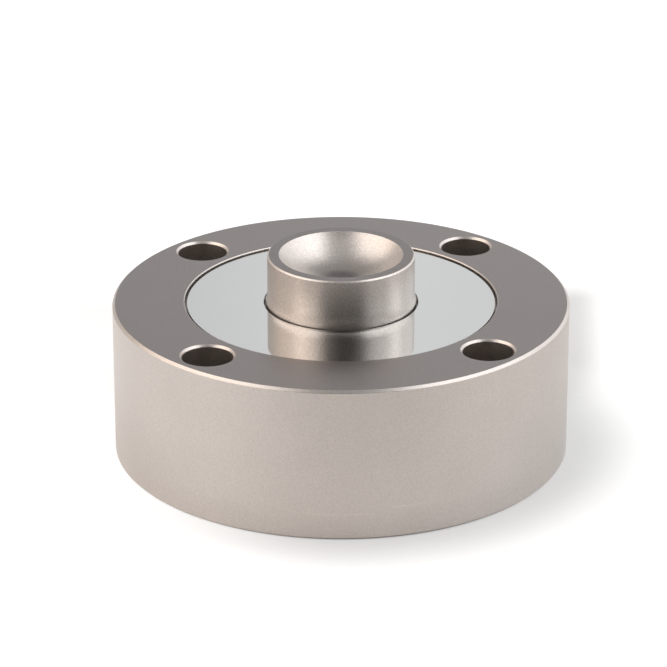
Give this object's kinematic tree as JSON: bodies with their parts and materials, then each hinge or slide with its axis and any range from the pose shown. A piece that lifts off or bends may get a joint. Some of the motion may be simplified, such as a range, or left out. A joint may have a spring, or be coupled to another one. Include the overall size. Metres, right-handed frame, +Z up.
{
  "type": "pancake load cell",
  "caption": "Low-profile round compression load cell: steel rim with through bolt holes, polished cover round a raised post with a ball cup, and a cable gland at the side.",
  "frame": {"origin": "centre of the mounting face, on the axis of the post", "axes": "+Z up out of the ball cup, +Y out through the cable gland, +X completes the right-handed frame"},
  "size_m": [0.105, 0.1216, 0.0471],
  "materials": {
    "nickel_plated_steel": "satin, turned and milled, then nickel plated",
    "polished_stainless": "mirror polished",
    "gasket_rubber": "matt",
    "seal_rubber": "matt",
    "circuit_board": "solder mask over glass epoxy",
    "tinned_copper": "tinned",
    "nickel_plated_brass": "nickel plated",
    "claw_nylon": "moulded",
    "gauge_film": "amber film with a foil grid",
    "lead_insulation": "extruded",
    "zinc_plated_steel": "zinc plated",
    "chip_ceramic": "glazed chip with tinned ends"
  },
  "bodies": {
    "root": {"board_screw_1": "zinc_plated_steel", "board_screw_2": "zinc_plated_steel", "board_screw_3": "zinc_plated_steel", "board_screw_4": "zinc_plated_steel", "bottom_cover": "polished_stainless", "bottom_gasket": "gasket_rubber", "bridge_board": "circuit_board", "cable_pads": "tinned_copper", "gland_body": "nickel_plated_brass", "gland_claw": "claw_nylon", "gland_nut": "nickel_plated_brass", "gland_seal": "seal_rubber", "gland_washer": "gasket_rubber", "lead_pair_1_left": "lead_insulation", "lead_pair_1_right": "lead_insulation", "lead_pair_2_left": "lead_insulation", "lead_pair_2_right": "lead_insulation", "lead_pair_3_left": "lead_insulation", "lead_pair_3_right": "lead_insulation", "lead_pair_4_left": "lead_insulation", "lead_pair_4_right": "lead_insulation", "output_resistor_left": "chip_ceramic", "output_resistor_right": "chip_ceramic", "solder_terminal_1_left": "tinned_copper", "solder_terminal_1_right": "tinned_copper", "solder_terminal_2_left": "tinned_copper", "solder_terminal_2_right": "tinned_copper", "solder_terminal_3_left": "tinned_copper", "solder_terminal_3_right": "tinned_copper", "solder_terminal_4_left": "tinned_copper", "solder_terminal_4_right": "tinned_copper", "span_resistor_left": "chip_ceramic", "span_resistor_right": "chip_ceramic", "spring_body": "nickel_plated_steel", "strain_gauge_1_left": "gauge_film", "strain_gauge_1_right": "gauge_film", "strain_gauge_2_left": "gauge_film", "strain_gauge_2_right": "gauge_film", "strain_gauge_3_left": "gauge_film", "strain_gauge_3_right": "gauge_film", "strain_gauge_4_left": "gauge_film", "strain_gauge_4_right": "gauge_film", "top_cover": "polished_stainless", "top_inner_gasket": "gasket_rubber", "top_outer_gasket": "gasket_rubber", "zero_resistor_left": "chip_ceramic", "zero_resistor_right": "chip_ceramic"}
  },
  "joints": []
}
